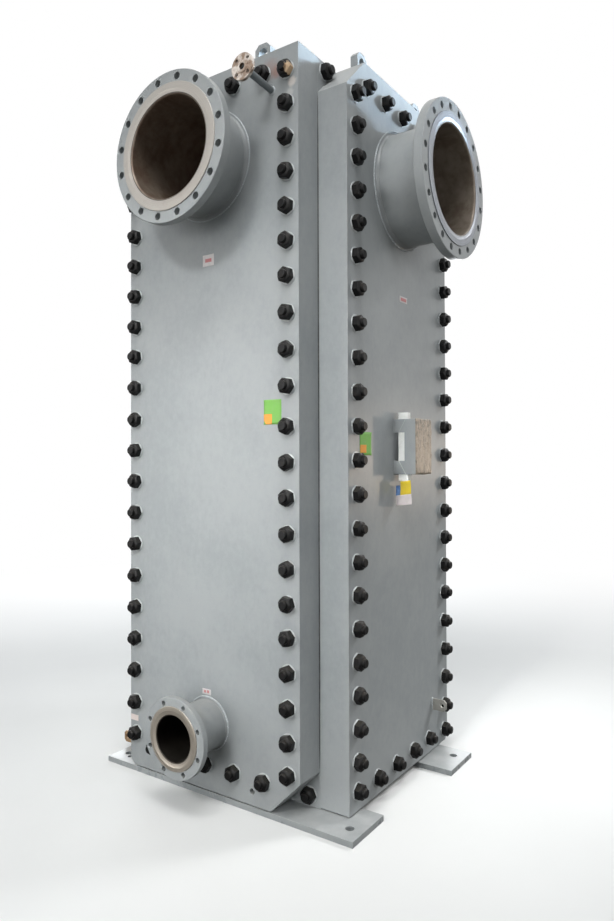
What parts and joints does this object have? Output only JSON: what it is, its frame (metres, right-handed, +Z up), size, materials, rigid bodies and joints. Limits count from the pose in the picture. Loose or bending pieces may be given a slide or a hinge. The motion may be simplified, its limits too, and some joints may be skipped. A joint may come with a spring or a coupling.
{
  "type": "welded plate heat exchanger",
  "caption": "Block heat exchanger: a square stack of welded plates behind four thick studded panels with flanged nozzles, on two base bars.",
  "frame": {"origin": "on the floor, in the middle of the overall length and width", "axes": "+Z up; -Y out of the front panel with the 18 inch and 8 inch flanges; +X out of the right panel with the 20 inch flange"},
  "size_m": [1.781, 1.541, 3.306],
  "materials": {
    "painted": "satin light blue-grey machinery paint",
    "stainless": "bare machined stainless steel",
    "plates": "dull stainless plate edges",
    "nameplate": "bare sheet plate, no lettering",
    "black_caps": "black protective coating on nuts and stud ends",
    "labels": "plain coloured paper labels, no print"
  },
  "bodies": {
    "root": {"base_bar_front": "painted", "base_bar_back": "painted", "bottom_head": "painted", "top_head": "painted", "column_front_left": "painted", "column_front_right": "painted", "column_back_left": "painted", "column_back_right": "painted", "panel_front": "painted", "panel_right": "painted", "panel_back": "painted", "panel_left": "painted", "nozzle_pipe_front_top": "painted", "nozzle_pipe_front_bottom": "painted", "nozzle_pipe_right_top": "painted", "nozzle_pipe_left_bottom": "painted", "nozzle_welds_front_top": "painted", "nozzle_welds_front_bottom": "painted", "nozzle_welds_right_top": "painted", "nozzle_welds_left_bottom": "painted", "flange_front_top": "painted", "flange_front_bottom": "painted", "flange_right_top": "painted", "flange_left_bottom": "painted", "lifting_lugs_front": "painted", "lifting_lugs_right": "painted", "lifting_lugs_back": "painted", "lifting_lugs_left": "painted", "vent_pipe": "painted", "nameplate_bracket": "painted", "liner_front_top": "stainless", "liner_front_bottom": "stainless", "liner_right_top": "stainless", "liner_left_bottom": "stainless", "vent_flange": "stainless", "earthing_lug_left": "stainless", "earthing_lug_right": "stainless", "plate_pairs": "plates", "plate_channels": "plates", "nameplate": "nameplate"}
  },
  "joints": []
}
